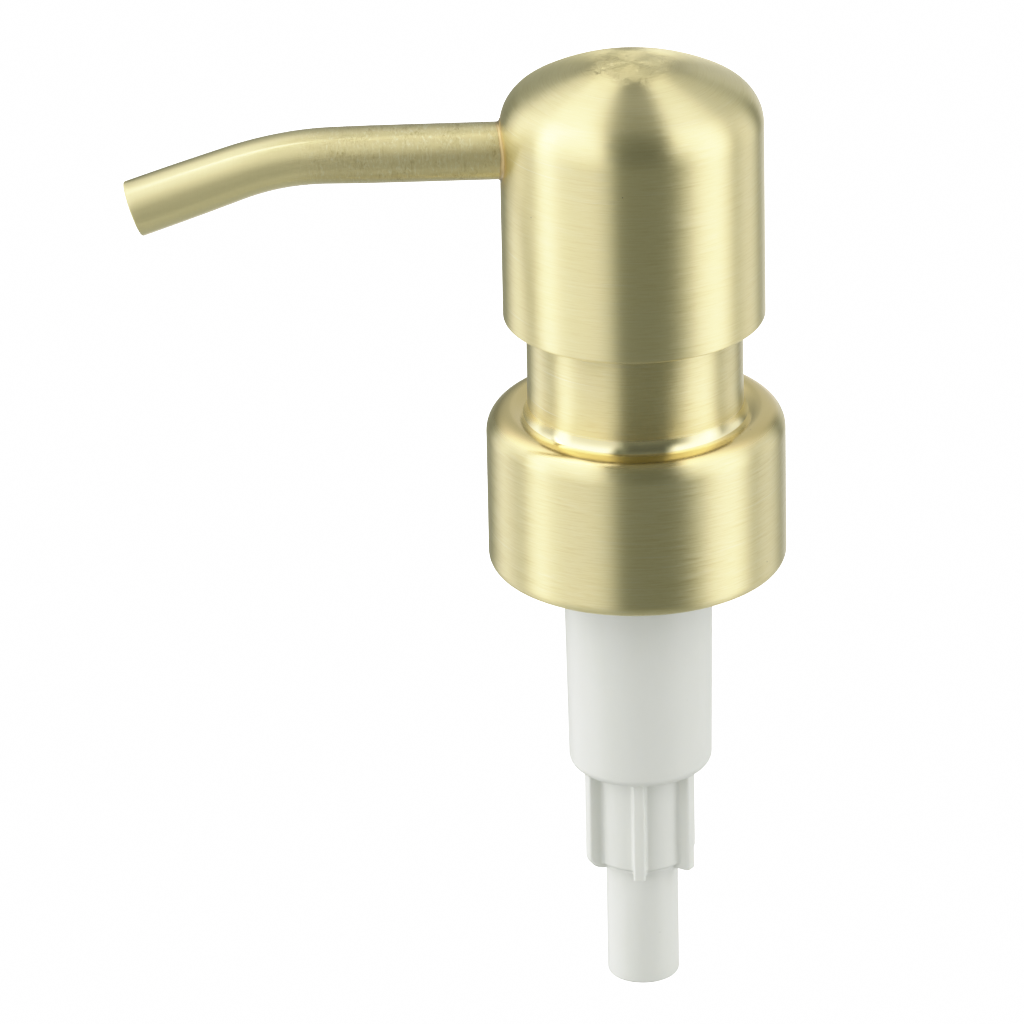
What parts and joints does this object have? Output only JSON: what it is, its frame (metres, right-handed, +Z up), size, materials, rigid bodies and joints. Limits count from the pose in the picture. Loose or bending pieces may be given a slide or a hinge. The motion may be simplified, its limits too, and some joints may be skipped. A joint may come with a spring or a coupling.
{
  "type": "soap pump dispenser",
  "caption": "Bottle-top soap pump: domed press-down head with a bent spout, threaded collar and ribbed pump barrel below.",
  "frame": {"origin": "on the pump's axis, in the plane of the bottle's rim, which is the underside of the sealing gasket", "axes": "+Z up along the pump's axis, -X along the spout, +Y to the back when the spout is at the left"},
  "size_m": [0.0719, 0.033, 0.1098],
  "materials": {
    "brushed_gold": "brushed round the axis, satin",
    "brushed_gold_collar": "brushed round the axis, polished in the crease",
    "satin_gold": "brushed at its root, polished towards the tip",
    "braze_gold": "smooth filler metal",
    "white_plastic_housing": "satin moulded polypropylene",
    "white_plastic_closure": "satin moulded polypropylene",
    "white_plastic_core": "satin moulded polypropylene",
    "white_plastic_stem": "smooth moulded polypropylene",
    "natural_plastic": "smooth extruded polyethylene",
    "soft_seal": "soft low-density polyethylene",
    "gasket_foam": "closed-cell polyethylene foam",
    "spring_steel": "drawn stainless wire",
    "ball_steel": "ground and polished stainless"
  },
  "bodies": {
    "pump_body": {"housing": "white_plastic_housing", "chaplet": "white_plastic_core", "stem_seal": "soft_seal", "gasket": "gasket_foam", "ball_cage": "white_plastic_core", "spring": "spring_steel"},
    "collar": {"collar_shell": "brushed_gold_collar", "closure": "white_plastic_closure"},
    "piston": {"piston": "soft_seal"},
    "head": {"head_shell": "brushed_gold", "spout_tube": "satin_gold", "spout_braze": "braze_gold", "spout_liner": "natural_plastic", "actuator_core": "white_plastic_core", "stem": "white_plastic_stem", "piston_retainer": "white_plastic_stem"},
    "inlet_ball": {"inlet_ball": "ball_steel"},
    "outlet_ball": {"outlet_ball": "ball_steel"}
  },
  "joints": [
    {"name": "pump_stroke", "type": "slide", "parent": "pump_body", "child": "piston", "axis": [0, 0, -1], "range_m": [0, 0.0105], "stiffness_N_per_m": 600, "springref_m": -0.006, "deforming": ["spring"]},
    {"name": "spout_swivel", "type": "hinge", "parent": "piston", "child": "head", "pos_m": [0, 0, 0], "axis": [0, 0, 1], "continuous": true},
    {"name": "collar_turn", "type": "hinge", "parent": "pump_body", "child": "collar", "pos_m": [0, 0, 0], "axis": [0, 0, 1], "continuous": true},
    {"name": "inlet_ball_lift", "type": "slide", "parent": "pump_body", "child": "inlet_ball", "axis": [0, 0, 1], "range_m": [0, 0.0016]},
    {"name": "outlet_ball_lift", "type": "slide", "parent": "head", "child": "outlet_ball", "axis": [0, 0, 1], "range_m": [0, 0.0009]}
  ]
}
